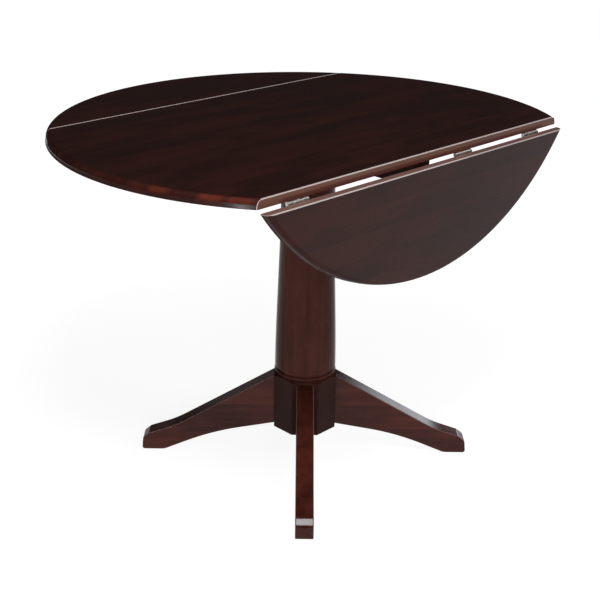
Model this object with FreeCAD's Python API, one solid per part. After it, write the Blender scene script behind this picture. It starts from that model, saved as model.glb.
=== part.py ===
import FreeCAD, Part
import math
import os

# Round drop-leaf pedestal table. Millimetres, +Z up, origin on the floor under the column's axis.
# The hinge lines run along Y. The leaf on +X hangs down and the leaf on -X is raised.

# Table top
top_diameter = 1066.8
top_height = 767.0
panel_thickness = 18.0
centre_width = 618.0
leaf_gap = 1.0
rim_bottom_round = 1.5
rim_lean = 1.0
rim_wall_height = 8.5
rim_round_width = 10.0
rim_round_bulge = 2.1
top_arris = 2.5
bottom_arris = 1.0

# Hinges
hinge_length = 50.0
hinge_end_inset = 92.4
hinge_plate_width = 28.0
hinge_plate_thickness = 2.0
knuckle_count = 5
knuckle_radius = 4.0
knuckle_clearance = 0.4
knuckle_gap = 0.3
knuckle_relief = 0.4
pin_radius = 2.0
pin_clearance = 0.05
pin_head_radius = 3.0
pin_head_height = 1.0

# Wood screws
hinge_screw_radius = 1.75
hinge_screw_head_radius = 3.4
hinge_screw_edge = 8.0
hinge_screw_stagger = 6.0
frame_screw_radius = 2.5
frame_screw_head_radius = 4.8
screw_clearance = 0.05
screw_cover = 6.0
screw_tip_length = 4.0

# Bearers and mounting plate
bearer_width = 45.0
bearer_height = 48.0
long_bearer_inset = 9.0
cross_bearer_length = 700.0
lap_clearance = 0.1
bearer_counterbore = 22.0
counterbore_clearance = 0.6
long_bearer_screw_inset = 48.0
cross_bearer_screw_inset = 40.0
bearer_screw_spacing = 90.0
mount_plate_side = 200.0
mount_plate_thickness = 18.0
plate_screw_edge = 20.0
plate_screw_bite = 27.0
column_screw_edge = 9.8
column_screw_bite = 50.0

# Leaf stays
stay_offset = 19.5
stay_width = 20.0
stay_thickness = 16.0
stay_tip_round = 6.0
stay_tip_arris = 1.0
stay_gap = 0.3
stay_side_clearance = 0.5
stay_slot_clearance = 2.0
stay_bolt_radius = 3.0
stay_bolt_head_radius = 6.5
stay_bolt_head_height = 3.2
stay_bolt_fit = 0.3
stay_bolt_reach = 12.0
stay_washer_radius = 8.0
stay_washer_thickness = 1.4
wing_nut_radius = 5.5
wing_nut_height = 7.0
wing_span = 26.0
wing_height = 11.0
wing_thickness = 2.4
keeper_width = 44.0
keeper_lap_inner = 12.0
keeper_lap_outer = 10.0
keeper_rim_inset = 44.0
keeper_screw_inset = 10.0
keeper_screw_side = 7.5

# Column and hub
column_top_radius = 58.2
column_neck_radius = 59.4
column_neck_length = 183.0
column_middle_radius = 64.4
column_base_radius = 67.9
column_foot_round = 5.5
groove_width = 2.4
bead_height = 8.4
bead_swell = 4.8
shoulder_height = 1.4
shoulder_drop = 3.7
hub_step = 1.1
hub_bottom = 70.5
hub_height = 130.0
hub_wall = 27.0
hub_roof = 17.0

# Legs
leg_thickness = 38.0
leg_reach = 373.0
leg_top_step = 5.5
leg_bottom_step = 3.5
knee_inset = 78.3
knee_height = 63.9
knee_round = 240.0
toe_height = 43.2
toe_round = 14.0
toe_bevel = 18.0
toe_lean = 3.0
toe_end_height = 30.6
toe_end_round = 10.0
toe_bottom_round = 6.0
foot_length = 51.0
foot_heel_round = 30.0
arch_inset = 162.6
arch_height = 48.5
arch_round = 560.0
leg_arris = 2.0

# Leg bolts
leg_bolt_radius = 4.0
leg_bolt_depth = 40.0
leg_bolt_inner_reach = 11.0
leg_bolt_low_inset = 25.0
leg_bolt_high_inset = 46.0
leg_bolt_hole_clearance = 0.5
leg_washer_radius = 9.0
leg_washer_thickness = 1.6
leg_nut_flats = 13.0
leg_nut_height = 6.5
thread_clearance = 0.05

# Foot glides
glide_radius = 10.0
glide_height = 2.0
glide_stand = 0.8
glide_clearance = 0.1
glide_tack_radius = 1.2
glide_tack_length = 12.0

# Room left past the end of a screw, bolt or tack, and how far a cut runs past the face it opens
hole_end_room = 0.5
cut_margin = 1.0

# Places that follow from the sizes
top_radius = top_diameter / 2
underside = top_height - panel_thickness
centre_half = centre_width / 2
hinge_x = centre_half + leaf_gap / 2
hinge_z = underside - knuckle_radius - knuckle_clearance
hinge_chord_half = math.sqrt(top_radius ** 2 - hinge_x ** 2)
leaf_depth = top_radius - centre_half - leaf_gap
bearer_bottom = underside - bearer_height
column_top = bearer_bottom - mount_plate_thickness
long_bearer_half = centre_half - long_bearer_inset
stay_x = hinge_x - stay_offset
stay_z = hinge_z - stay_offset
stay_length = leaf_depth - keeper_rim_inset - keeper_lap_outer - stay_offset
groove_radius = column_base_radius - column_foot_round
hub_apothem = column_base_radius + hub_step
cavity_apothem = hub_apothem - hub_wall
hub_facet_top = hub_bottom + hub_height
hub_corner_top = hub_facet_top - shoulder_drop
bead_bottom = hub_facet_top + shoulder_height
bead_top = bead_bottom + bead_height
leg_hub_top = hub_facet_top - leg_top_step
leg_hub_bottom = hub_bottom + leg_bottom_step
column_screw_offset = (column_top_radius - column_screw_edge) / math.sqrt(2)

X_AXIS = FreeCAD.Vector(1, 0, 0)
Y_AXIS = FreeCAD.Vector(0, 1, 0)
Z_AXIS = FreeCAD.Vector(0, 0, 1)
ORIGIN = FreeCAD.Vector(0, 0, 0)
HINGE_POINT = FreeCAD.Vector(hinge_x, 0, hinge_z)
STAY_POINT = FreeCAD.Vector(stay_x, 0, stay_z)


def point(x, y, z):
    return FreeCAD.Vector(x, y, z)


def box(x_low, x_high, y_low, y_high, z_low, z_high):
    corner = point(x_low, y_low, z_low)
    return Part.makeBox(x_high - x_low, y_high - y_low, z_high - z_low, corner)


def turned(shape, centre, axis, angle):
    copy = shape.copy()
    copy.rotate(centre, axis, angle)
    return copy


def moved(shape, x, y, z):
    copy = shape.copy()
    copy.translate(point(x, y, z))
    return copy


def joined(shapes):
    return shapes[0].multiFuse(shapes[1:]).removeSplitter()


def rounded_outline(corners):
    """Closed wire in the XZ plane: each corner is (x, z, radius), and a radius of 0 leaves it sharp."""
    count = len(corners)
    entries = []
    exits = []
    arcs = []
    for index, (x, z, radius) in enumerate(corners):
        here = point(x, 0, z)
        before = point(corners[index - 1][0], 0, corners[index - 1][1])
        after = point(corners[(index + 1) % count][0], 0, corners[(index + 1) % count][1])
        back = (before - here).normalize()
        ahead = (after - here).normalize()
        if radius == 0:
            entries.append(here)
            exits.append(here)
            arcs.append(None)
            continue
        half_angle = back.getAngle(ahead) / 2
        run = radius / math.tan(half_angle)
        entry = here + back * run
        leave = here + ahead * run
        middle_way = (back + ahead).normalize()
        middle = here + middle_way * (radius / math.sin(half_angle) - radius)
        entries.append(entry)
        exits.append(leave)
        arcs.append(Part.Arc(entry, middle, leave).toShape())
    edges = []
    for index in range(count):
        if arcs[index] is not None:
            edges.append(arcs[index])
        start = exits[index]
        end = entries[(index + 1) % count]
        if start.distanceToPoint(end) > 1e-6:
            edges.append(Part.LineSegment(start, end).toShape())
    return Part.Wire(Part.__sortEdges__(edges))


def prism(corners, width):
    """Solid of a rounded outline, centred on the XZ plane."""
    face = Part.Face(rounded_outline(corners))
    return moved(face.extrude(Y_AXIS * width), 0, -width / 2, 0)


def octagon(apothem, z_low, z_high):
    corner_radius = apothem / math.cos(math.pi / 8)
    corners = []
    for index in range(9):
        angle = math.pi / 8 + index * math.pi / 4
        corners.append(point(corner_radius * math.cos(angle), corner_radius * math.sin(angle), z_low))
    return Part.Face(Part.makePolygon(corners)).extrude(Z_AXIS * (z_high - z_low))


def screw(length, radius, head_radius, grow=0.0, head_room=0.0):
    """Countersunk wood screw along +Z with its head's face at the origin; grow makes the hole for it."""
    head_height = head_radius - radius
    shank_end = length - screw_tip_length
    head = Part.makeCone(head_radius + grow, radius + grow, head_height)
    shank = Part.makeCylinder(radius + grow, shank_end - head_height, point(0, 0, head_height))
    if grow == 0:
        tip = Part.makeCone(radius, radius / 4, screw_tip_length, point(0, 0, shank_end))
    else:
        tip = Part.makeCylinder(radius + grow, screw_tip_length + grow, point(0, 0, shank_end))
    pieces = [head, shank, tip]
    if head_room > 0:
        pieces.append(Part.makeCylinder(head_radius + grow, head_room, point(0, 0, -head_room)))
    return joined(pieces)


def upward(shape, x, y, z):
    return moved(shape, x, y, z)


def downward(shape, x, y, z):
    return moved(turned(shape, ORIGIN, X_AXIS, 180), x, y, z)


def opposite(shape):
    """The same piece on the other side of the table."""
    return turned(shape, ORIGIN, Z_AXIS, 180)


def hung(shape):
    """A piece of a raised leaf, turned down about its hinge."""
    return turned(shape, HINGE_POINT, Y_AXIS, 90)


def hung_stay(shape):
    return turned(shape, STAY_POINT, Y_AXIS, 90)


# Hinge parts are drawn for the +X side with the leaf raised.
def hinge_spans():
    span = (hinge_length - (knuckle_count - 1) * knuckle_gap) / knuckle_count
    return [(-hinge_length / 2 + index * (span + knuckle_gap), span) for index in range(knuckle_count)]


def hinge_screw_places(side):
    """Screw centres of one plate: X from the hinge line and Y from the hinge's middle."""
    near = side * (hinge_plate_width - hinge_screw_edge - hinge_screw_stagger)
    far = side * (hinge_plate_width - hinge_screw_edge)
    end = hinge_length / 2 - hinge_screw_edge
    return [(near, -end), (far, 0.0), (near, end)]


hinge_screw_length = hinge_plate_thickness + panel_thickness - screw_cover
hinge_screw_solid = screw(hinge_screw_length, hinge_screw_radius, hinge_screw_head_radius)
hinge_screw_hole = screw(hinge_screw_length, hinge_screw_radius, hinge_screw_head_radius,
                         screw_clearance, hinge_plate_thickness)
hinge_plate_bottom = underside - hinge_plate_thickness
hinge_reach = hinge_chord_half - hinge_end_inset

# Three hinges on each leaf: one near each end and one a third of the way out, clear of the stay in the middle
hinge_rows = [-hinge_reach, hinge_reach / 3, hinge_reach]


def hinge_screws_at(side, row, solid):
    places = hinge_screw_places(side)
    return [upward(solid, hinge_x + x, row + y, hinge_plate_bottom) for x, y in places]


def hinge_plate(side, row):
    """Plate on the centre panel (side -1) or on the leaf (side 1), with its own knuckles."""
    own = range(0, knuckle_count, 2) if side < 0 else range(1, knuckle_count, 2)
    inner = knuckle_radius + knuckle_relief
    low = row - hinge_length / 2
    high = row + hinge_length / 2
    xs = sorted([hinge_x + side * inner, hinge_x + side * hinge_plate_width])
    pieces = [box(xs[0], xs[1], low, high, hinge_plate_bottom, underside)]
    bores = []
    for index in own:
        start, span = hinge_spans()[index]
        tab = sorted([hinge_x, hinge_x + side * inner])
        pieces.append(box(tab[0], tab[1], row + start, row + start + span, hinge_plate_bottom, underside))
        base = point(hinge_x, row + start, hinge_z)
        pieces.append(Part.makeCylinder(knuckle_radius, span, base, Y_AXIS))
        bores.append(Part.makeCylinder(pin_radius + pin_clearance, span, base, Y_AXIS))
    holes = hinge_screws_at(side, row, hinge_screw_hole)
    return joined(pieces).cut(bores + holes)


def hinge_pin(row):
    base = point(hinge_x, row - hinge_length / 2, hinge_z)
    shank = Part.makeCylinder(pin_radius, hinge_length, base, Y_AXIS)
    near_head = Part.makeCylinder(pin_head_radius, pin_head_height, base, Y_AXIS * -1)
    far_base = point(hinge_x, row + hinge_length / 2, hinge_z)
    far_head = Part.makeCylinder(pin_head_radius, pin_head_height, far_base, Y_AXIS)
    return joined([shank, near_head, far_head])


# Keeper block and stay arm, on the +X side with the leaf raised
keeper_start = hinge_x + stay_length - stay_offset - keeper_lap_inner
keeper_end = hinge_x + stay_length + stay_offset + keeper_lap_outer
keeper_bottom = stay_z + stay_thickness / 2 + stay_gap
keeper_screw_length = underside - keeper_bottom + panel_thickness - screw_cover
keeper_screw_solid = screw(keeper_screw_length, hinge_screw_radius, hinge_screw_head_radius)
keeper_screw_hole = screw(keeper_screw_length, hinge_screw_radius, hinge_screw_head_radius,
                          screw_clearance, cut_margin)


def keeper_screws_at(solid):
    side = keeper_width / 2 - keeper_screw_side
    places = []
    for x in (keeper_start + keeper_screw_inset, keeper_end - keeper_screw_inset):
        for y in (-side, side):
            places.append(upward(solid, x, y, keeper_bottom))
    return places


def keeper_block():
    half = keeper_width / 2
    block = box(keeper_start, keeper_end, -half, half, keeper_bottom, underside)
    return block.cut(keeper_screws_at(keeper_screw_hole))


def stay_arm():
    half = stay_thickness / 2
    stay_heel_round = 0.99 * half
    outline = [
        (stay_x - half, stay_z - half, stay_heel_round),
        (stay_x + stay_length, stay_z - half, stay_tip_round),
        (stay_x + stay_length, stay_z + half, stay_tip_arris),
        (stay_x - half, stay_z + half, stay_heel_round),
    ]
    arm = prism(outline, stay_width)
    base = point(stay_x, -stay_width / 2, stay_z)
    return arm.cut(Part.makeCylinder(stay_bolt_radius + pin_clearance, stay_width, base, Y_AXIS))


def stay_bolt():
    half = bearer_width / 2
    length = bearer_width + stay_bolt_reach
    shank = Part.makeCylinder(stay_bolt_radius, length, point(stay_x, -half, stay_z), Y_AXIS)
    head_base = point(stay_x, -half, stay_z)
    head = Part.makeCone(stay_bolt_head_radius, stay_bolt_radius, stay_bolt_head_height,
                         head_base, Y_AXIS * -1)
    return joined([shank, head])


def stay_washer():
    base = point(stay_x, bearer_width / 2, stay_z)
    disc = Part.makeCylinder(stay_washer_radius, stay_washer_thickness, base, Y_AXIS)
    hole = Part.makeCylinder(stay_bolt_radius + stay_bolt_fit, stay_washer_thickness, base, Y_AXIS)
    return disc.cut(hole)


def wing_nut():
    seat = bearer_width / 2 + stay_washer_thickness
    base = point(stay_x, seat, stay_z)
    barrel = Part.makeCylinder(wing_nut_radius, wing_nut_height, base, Y_AXIS)
    half_span = wing_span / 2
    outline = [
        (-wing_nut_radius / 2, 0.0, 0),
        (wing_nut_radius / 2, 0.0, 0),
        (half_span, wing_height * 0.45, wing_thickness),
        (half_span, wing_height, wing_thickness),
        (wing_nut_radius, wing_height * 0.6, 0),
        (-wing_nut_radius, wing_height * 0.6, 0),
        (-half_span, wing_height, wing_thickness),
        (-half_span, wing_height * 0.45, wing_thickness),
    ]
    wings = turned(prism(outline, wing_thickness), ORIGIN, X_AXIS, -90)
    wings = moved(wings, stay_x, seat, stay_z)
    hole = Part.makeCylinder(stay_bolt_radius + thread_clearance, wing_height, base, Y_AXIS)
    return joined([barrel, wings]).cut(hole)


def stay_slot():
    """Room in the long bearer's end for one stay and its bolt."""
    half = stay_width / 2 + stay_side_clearance
    back = stay_x - stay_thickness / 2 - stay_slot_clearance
    roof = stay_z + stay_thickness / 2 + stay_slot_clearance
    slot = box(back, centre_half, -half, half, bearer_bottom - cut_margin, roof)
    base = point(stay_x, -bearer_width / 2, stay_z)
    bolt_hole = Part.makeCylinder(stay_bolt_radius + stay_bolt_fit, bearer_width, base, Y_AXIS)
    return slot.fuse(bolt_hole)


# Table top
def top_disc():
    """The whole round top with its shaped rim."""
    wall_top = underside + rim_wall_height
    wall_radius = top_radius - rim_lean
    inner = wall_radius - rim_round_width
    round_height = top_height - wall_top
    chord = math.hypot(rim_round_width, round_height)
    bottom_diagonal = rim_bottom_round * (1 - math.sqrt(0.5))
    p_axis_low = point(0, 0, underside)
    p_bottom = point(top_radius - rim_bottom_round, 0, underside)
    p_bottom_mid = point(top_radius - bottom_diagonal, 0, underside + bottom_diagonal)
    p_wall_low = point(top_radius, 0, underside + rim_bottom_round)
    p_wall_top = point(wall_radius, 0, wall_top)
    p_round_mid = point((inner + wall_radius) / 2 + rim_round_bulge * round_height / chord, 0,
                        (wall_top + top_height) / 2 + rim_round_bulge * rim_round_width / chord)
    p_top = point(inner, 0, top_height)
    p_axis_top = point(0, 0, top_height)
    edges = [
        Part.LineSegment(p_axis_low, p_bottom).toShape(),
        Part.Arc(p_bottom, p_bottom_mid, p_wall_low).toShape(),
        Part.LineSegment(p_wall_low, p_wall_top).toShape(),
        Part.Arc(p_wall_top, p_round_mid, p_top).toShape(),
        Part.LineSegment(p_top, p_axis_top).toShape(),
        Part.LineSegment(p_axis_top, p_axis_low).toShape(),
    ]
    return Part.Face(Part.Wire(edges)).revolve(ORIGIN, Z_AXIS, 360)


def bearer_screw_places():
    """Screws that hold the bearers to the centre panel: (x, y) of each."""
    places = []
    for half, inset, along_x in ((long_bearer_half, long_bearer_screw_inset, True),
                                 (cross_bearer_length / 2, cross_bearer_screw_inset, False)):
        for sign in (-1, 1):
            for step in (0, 1):
                distance = sign * (half - inset - step * bearer_screw_spacing)
                places.append((distance, 0.0) if along_x else (0.0, distance))
    return places


bearer_screw_seat = bearer_bottom + bearer_counterbore
bearer_screw_length = underside - bearer_screw_seat + panel_thickness - screw_cover
bearer_screw_solid = screw(bearer_screw_length, frame_screw_radius, frame_screw_head_radius)
bearer_screw_hole = screw(bearer_screw_length, frame_screw_radius, frame_screw_head_radius, screw_clearance)
counterbore = Part.makeCylinder(frame_screw_head_radius + counterbore_clearance, bearer_counterbore)


def bearer_screws_at(solid, height):
    return [upward(solid, x, y, height) for x, y in bearer_screw_places()]


disc = top_disc()
long_y = top_diameter + 2 * cut_margin
beyond = top_radius + cut_margin
centre_outline = [
    (-centre_half, underside, bottom_arris),
    (centre_half, underside, bottom_arris),
    (centre_half, top_height, top_arris),
    (-centre_half, top_height, top_arris),
]
leaf_outline = [
    (centre_half + leaf_gap, underside, bottom_arris),
    (beyond, underside, 0),
    (beyond, top_height, 0),
    (centre_half + leaf_gap, top_height, top_arris),
]
centre_hinge_holes = []
leaf_hinge_holes = []
for row in hinge_rows:
    for hole in hinge_screws_at(-1, row, hinge_screw_hole):
        centre_hinge_holes.append(hole)
        centre_hinge_holes.append(opposite(hole))
    leaf_hinge_holes.extend(hinge_screws_at(1, row, hinge_screw_hole))

nodes = {}
bearer_holes = bearer_screws_at(bearer_screw_hole, bearer_screw_seat)
centre_panel = disc.common(prism(centre_outline, long_y))
nodes["centre_panel"] = centre_panel.cut(centre_hinge_holes + bearer_holes)
raised_leaf = disc.common(prism(leaf_outline, long_y))
raised_leaf = raised_leaf.cut(leaf_hinge_holes + keeper_screws_at(keeper_screw_hole))
nodes["right_leaf"] = hung(raised_leaf)
nodes["left_leaf"] = opposite(raised_leaf)

# Hinges
right_panel_screws = []
right_leaf_screws = []
for number, row in enumerate(hinge_rows, start=1):
    panel_plate = hinge_plate(-1, row)
    leaf_plate = hinge_plate(1, row)
    pin = hinge_pin(row)
    nodes["right_hinge_%d_panel_plate" % number] = panel_plate
    nodes["right_hinge_%d_leaf_plate" % number] = hung(leaf_plate)
    nodes["right_hinge_%d_pin" % number] = pin
    nodes["left_hinge_%d_panel_plate" % number] = opposite(panel_plate)
    nodes["left_hinge_%d_leaf_plate" % number] = opposite(leaf_plate)
    nodes["left_hinge_%d_pin" % number] = opposite(pin)
    right_panel_screws.extend(hinge_screws_at(-1, row, hinge_screw_solid))
    right_leaf_screws.extend(hinge_screws_at(1, row, hinge_screw_solid))
nodes["right_hinge_panel_screws"] = Part.makeCompound(right_panel_screws)
nodes["right_hinge_leaf_screws"] = Part.makeCompound([hung(shape) for shape in right_leaf_screws])
nodes["left_hinge_panel_screws"] = Part.makeCompound([opposite(shape) for shape in right_panel_screws])
nodes["left_hinge_leaf_screws"] = Part.makeCompound([opposite(shape) for shape in right_leaf_screws])

# Bearers, lapped into each other at the middle
half_width = bearer_width / 2
lap_middle = bearer_bottom + bearer_height / 2
lap_half = half_width + lap_clearance
counterbores = bearer_screws_at(counterbore, bearer_bottom)
long_bearer = box(-long_bearer_half, long_bearer_half, -half_width, half_width, bearer_bottom, underside)
long_lap = box(-lap_half, lap_half, -half_width, half_width, lap_middle - lap_clearance, underside)
cross_half = cross_bearer_length / 2
cross_bearer = box(-half_width, half_width, -cross_half, cross_half, bearer_bottom, underside)
cross_lap = box(-half_width, half_width, -lap_half, lap_half, bearer_bottom, lap_middle)

# Mounting plate between the bearers and the column
plate_half = mount_plate_side / 2
plate_screw_offset = plate_half - plate_screw_edge
plate_places = [(plate_screw_offset, 0), (-plate_screw_offset, 0), (0, plate_screw_offset), (0, -plate_screw_offset)]
plate_screw_length = mount_plate_thickness + plate_screw_bite
plate_screw_solid = screw(plate_screw_length, frame_screw_radius, frame_screw_head_radius)
plate_screw_hole = screw(plate_screw_length, frame_screw_radius, frame_screw_head_radius,
                         screw_clearance, cut_margin)
column_screw_length = mount_plate_thickness + column_screw_bite
column_screw_solid = screw(column_screw_length, frame_screw_radius, frame_screw_head_radius)
column_screw_hole = screw(column_screw_length, frame_screw_radius, frame_screw_head_radius,
                          screw_clearance, cut_margin)
column_places = []
for x_sign in (-1, 1):
    for y_sign in (-1, 1):
        column_places.append((x_sign * column_screw_offset, y_sign * column_screw_offset))
plate_screws = [upward(plate_screw_solid, x, y, column_top) for x, y in plate_places]
plate_holes = [upward(plate_screw_hole, x, y, column_top) for x, y in plate_places]
column_screws = [downward(column_screw_solid, x, y, bearer_bottom) for x, y in column_places]
column_holes = [downward(column_screw_hole, x, y, bearer_bottom) for x, y in column_places]
mounting_plate = box(-plate_half, plate_half, -plate_half, plate_half, column_top, bearer_bottom)

slots = [stay_slot(), opposite(stay_slot())]
bearer_cuts = bearer_holes + counterbores + plate_holes
nodes["long_bearer"] = long_bearer.cut([long_lap] + slots + bearer_cuts)
nodes["cross_bearer"] = cross_bearer.cut([cross_lap] + bearer_cuts)
nodes["mounting_plate"] = mounting_plate.cut(plate_holes + column_holes)
nodes["bearer_screws"] = Part.makeCompound(bearer_screws_at(bearer_screw_solid, bearer_screw_seat))
nodes["plate_bearer_screws"] = Part.makeCompound(plate_screws)
nodes["plate_column_screws"] = Part.makeCompound(column_screws)

# Leaf stays
nodes["right_stay_arm"] = hung_stay(stay_arm())
nodes["left_stay_arm"] = opposite(stay_arm())
nodes["right_stay_bolt"] = stay_bolt()
nodes["left_stay_bolt"] = opposite(stay_bolt())
nodes["stay_washers"] = Part.makeCompound([stay_washer(), opposite(stay_washer())])
nodes["right_stay_wing_nut"] = wing_nut()
nodes["left_stay_wing_nut"] = opposite(wing_nut())
nodes["right_keeper"] = hung(keeper_block())
nodes["left_keeper"] = opposite(keeper_block())
keeper_screws = keeper_screws_at(keeper_screw_solid)
nodes["right_keeper_screws"] = Part.makeCompound([hung(shape) for shape in keeper_screws])
nodes["left_keeper_screws"] = Part.makeCompound([opposite(shape) for shape in keeper_screws])


# Column and hub, turned and planed from one blank
def turned_hub():
    corner_radius = hub_apothem / math.cos(math.pi / 8) + cut_margin
    start = point(corner_radius, 0, hub_corner_top)
    middle = point(hub_apothem, 0, hub_facet_top)
    shoulder = point(groove_radius, 0, bead_bottom)
    bead_middle = point(groove_radius + bead_swell, 0, (bead_bottom + bead_top) / 2)
    bead_end = point(groove_radius, 0, bead_top)
    axis_low = point(0, 0, hub_bottom)
    axis_high = point(0, 0, bead_top)
    edges = [
        Part.LineSegment(axis_low, point(corner_radius, 0, hub_bottom)).toShape(),
        Part.LineSegment(point(corner_radius, 0, hub_bottom), start).toShape(),
        Part.Arc(start, middle, shoulder).toShape(),
        Part.Arc(shoulder, bead_middle, bead_end).toShape(),
        Part.LineSegment(bead_end, axis_high).toShape(),
        Part.LineSegment(axis_high, axis_low).toShape(),
    ]
    blank = Part.Face(Part.Wire(edges)).revolve(ORIGIN, Z_AXIS, 360)
    return blank.common(octagon(hub_apothem, hub_bottom, bead_top))


def turned_column():
    foot_low = bead_top + groove_width
    foot_high = foot_low + column_foot_round
    diagonal = column_foot_round * math.sqrt(0.5)
    groove = point(groove_radius, 0, bead_top)
    lip = point(groove_radius, 0, foot_low)
    lip_middle = point(groove_radius + diagonal, 0, foot_high - diagonal)
    base = point(column_base_radius, 0, foot_high)
    neck_height = column_top - column_neck_length
    stations = [
        base,
        point(column_middle_radius, 0, (foot_high + neck_height) / 2),
        point(column_neck_radius, 0, neck_height),
        point(column_top_radius, 0, column_top),
    ]
    side = Part.BSplineCurve()
    side.interpolate(stations)
    edges = [
        Part.LineSegment(point(0, 0, bead_top), groove).toShape(),
        Part.LineSegment(groove, lip).toShape(),
        Part.Arc(lip, lip_middle, base).toShape(),
        side.toShape(),
        Part.LineSegment(stations[-1], point(0, 0, column_top)).toShape(),
        Part.LineSegment(point(0, 0, column_top), point(0, 0, bead_top)).toShape(),
    ]
    return Part.Face(Part.Wire(edges)).revolve(ORIGIN, Z_AXIS, 360)


# Legs are drawn along +X and turned to the four diagonals.
leg_names = ("front", "right", "back", "left")
bolt_heights = [leg_hub_bottom + leg_bolt_low_inset, leg_hub_top - leg_bolt_high_inset]
bolt_start = cavity_apothem - leg_bolt_inner_reach
bolt_end = hub_apothem + leg_bolt_depth
glide_x = leg_reach - foot_length / 2


def rod(radius, start, end, height):
    return Part.makeCylinder(radius, end - start, point(start, 0, height), X_AXIS)


def leg():
    outline = [
        (hub_apothem, leg_hub_bottom, 0),
        (hub_apothem, leg_hub_top, 0),
        (leg_reach - knee_inset, knee_height, knee_round),
        (leg_reach - toe_bevel, toe_height, toe_round),
        (leg_reach - toe_lean, toe_end_height, toe_end_round),
        (leg_reach, glide_stand, toe_bottom_round),
        (leg_reach - foot_length, glide_stand, foot_heel_round),
        (leg_reach - arch_inset, arch_height, arch_round),
    ]
    shape = prism(outline, leg_thickness)
    side = leg_thickness / 2
    long_edges = []
    for edge in shape.Edges:
        ends = [vertex.Point for vertex in edge.Vertexes]
        on_side = all(abs(abs(end.y) - side) < 1e-6 for end in ends) and abs(ends[0].y - ends[-1].y) < 1e-6
        on_hub = all(abs(end.x - hub_apothem) < 1e-6 for end in ends)
        if on_side and not on_hub:
            long_edges.append(edge)
    shape = shape.makeFillet(leg_arris, long_edges)
    holes = [rod(leg_bolt_radius + thread_clearance, hub_apothem - cut_margin, bolt_end + hole_end_room, height)
             for height in bolt_heights]
    tack = Part.makeCylinder(glide_tack_radius + thread_clearance, glide_tack_length + hole_end_room,
                             point(glide_x, 0, glide_height))
    pocket = Part.makeCylinder(glide_radius + glide_clearance, glide_height, point(glide_x, 0, 0))
    return shape.cut(holes + [tack, pocket])


def hanger_bolt(height):
    return rod(leg_bolt_radius, bolt_start, bolt_end, height)


def leg_washer(height):
    seat = cavity_apothem - leg_washer_thickness
    ring = rod(leg_washer_radius, seat, cavity_apothem, height)
    return ring.cut(rod(leg_bolt_radius + stay_bolt_fit, seat, cavity_apothem, height))


def leg_nut(height):
    outer = cavity_apothem - leg_washer_thickness
    corner_radius = leg_nut_flats / 2 / math.cos(math.pi / 6)
    corners = []
    for index in range(7):
        angle = math.pi / 6 + index * math.pi / 3
        y = corner_radius * math.sin(angle)
        z = height + corner_radius * math.cos(angle)
        corners.append(point(outer - leg_nut_height, y, z))
    nut = Part.Face(Part.makePolygon(corners)).extrude(X_AXIS * leg_nut_height)
    return nut.cut(rod(leg_bolt_radius + thread_clearance, outer - leg_nut_height, outer, height))


def foot_glide():
    foot = Part.makeCylinder(glide_radius, glide_height, point(glide_x, 0, 0))
    tack = Part.makeCylinder(glide_tack_radius, glide_tack_length, point(glide_x, 0, glide_height))
    return foot.fuse(tack).removeSplitter()


def around(shape, angle):
    return turned(shape, ORIGIN, Z_AXIS, angle)


leg_shape = leg()
hub_bolt_holes = []
bolts = []
washers = []
nuts = []
glides = []
for index, name in enumerate(leg_names):
    angle = 360 / len(leg_names) * (index - 0.5)
    nodes[name + "_leg"] = around(leg_shape, angle)
    glides.append(around(foot_glide(), angle))
    for height in bolt_heights:
        hole = rod(leg_bolt_radius + leg_bolt_hole_clearance, bolt_start, hub_apothem + cut_margin, height)
        hub_bolt_holes.append(around(hole, angle))
        bolts.append(around(hanger_bolt(height), angle))
        washers.append(around(leg_washer(height), angle))
        nuts.append(around(leg_nut(height), angle))
cavity = octagon(cavity_apothem, hub_bottom, hub_facet_top - hub_roof)
pedestal = turned_hub().fuse(turned_column()).removeSplitter()
nodes["pedestal_column"] = pedestal.cut([cavity] + hub_bolt_holes + column_holes)
nodes["leg_hanger_bolts"] = Part.makeCompound(bolts)
nodes["leg_washers"] = Part.makeCompound(washers)
nodes["leg_nuts"] = Part.makeCompound(nuts)
nodes["foot_glides"] = Part.makeCompound(glides)

os.makedirs("parts", exist_ok=True)
for name, shape in nodes.items():
    shape.exportStep("parts/%s.step" % name)
    print(name, len(shape.Solids), shape.isValid(), round(shape.Volume))
print(len(nodes), "nodes")
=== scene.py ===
import math

import bpy
from bpy.props import FloatProperty, FloatVectorProperty, IntProperty, PointerProperty
from bpy.types import Operator, Panel, PropertyGroup
from mathutils import Matrix, Vector


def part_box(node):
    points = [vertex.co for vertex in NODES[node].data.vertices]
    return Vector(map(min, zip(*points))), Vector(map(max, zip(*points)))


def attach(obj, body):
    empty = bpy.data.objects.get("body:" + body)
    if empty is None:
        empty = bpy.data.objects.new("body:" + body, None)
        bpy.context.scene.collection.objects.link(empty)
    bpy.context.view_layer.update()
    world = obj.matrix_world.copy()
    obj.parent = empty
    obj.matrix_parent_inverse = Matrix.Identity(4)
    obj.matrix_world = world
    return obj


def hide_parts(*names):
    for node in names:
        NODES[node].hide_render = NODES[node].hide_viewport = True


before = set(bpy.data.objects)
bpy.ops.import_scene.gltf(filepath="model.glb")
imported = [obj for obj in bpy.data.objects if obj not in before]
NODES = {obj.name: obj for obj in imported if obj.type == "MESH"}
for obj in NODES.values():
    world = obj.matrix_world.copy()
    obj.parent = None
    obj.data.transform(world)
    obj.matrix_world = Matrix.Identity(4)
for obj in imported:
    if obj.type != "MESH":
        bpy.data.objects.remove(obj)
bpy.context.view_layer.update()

bl_info = {
    "name": "Round drop-leaf pedestal table",
    "version": (1, 0, 0),
    "blender": (4, 5, 0),
    "location": "3D View > Sidebar > Table",
    "description": "Finishes the wood, hinges and fasteners of a round drop-leaf table and sets its stage",
    "category": "Object",
}

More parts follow.
